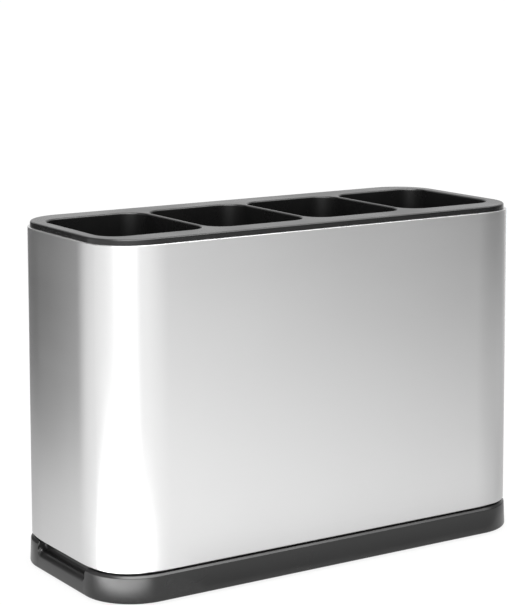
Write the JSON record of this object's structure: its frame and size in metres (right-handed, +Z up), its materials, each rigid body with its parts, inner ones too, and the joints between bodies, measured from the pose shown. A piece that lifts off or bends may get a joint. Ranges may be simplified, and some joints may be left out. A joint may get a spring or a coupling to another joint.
{
  "type": "cutlery dispenser",
  "caption": "Free-standing cutlery caddy: satin steel sleeve, black compartment insert hanging in it by its rim, and a dark drip-tray base on rubber feet.",
  "frame": {"origin": "centre of the footprint, on the plane of the feet's undersides", "axes": "+Z up; the long side along X; the long front face towards -Y; front left and right are as seen from the front"},
  "size_m": [0.222, 0.094, 0.1542],
  "materials": {
    "sleeve_steel": "satin stainless steel sheet",
    "insert_plastic": "semi-gloss moulded black plastic",
    "base_plastic": "satin moulded charcoal plastic",
    "foot_rubber": "matte moulded rubber"
  },
  "bodies": {
    "root": {"drip_tray_base": "base_plastic", "foot_front_left": "foot_rubber", "foot_front_right": "foot_rubber", "foot_rear_left": "foot_rubber", "foot_rear_right": "foot_rubber"},
    "sleeve": {"outer_sleeve": "sleeve_steel"},
    "insert": {"compartment_insert": "insert_plastic"}
  },
  "joints": [
    {"name": "sleeve_lift", "type": "slide", "parent": "root", "child": "sleeve", "axis": [0, 0, 1], "range_m": [0, 0.06]},
    {"name": "insert_lift", "type": "slide", "parent": "sleeve", "child": "insert", "axis": [0, 0, 1], "range_m": [0, 0.15]}
  ]
}
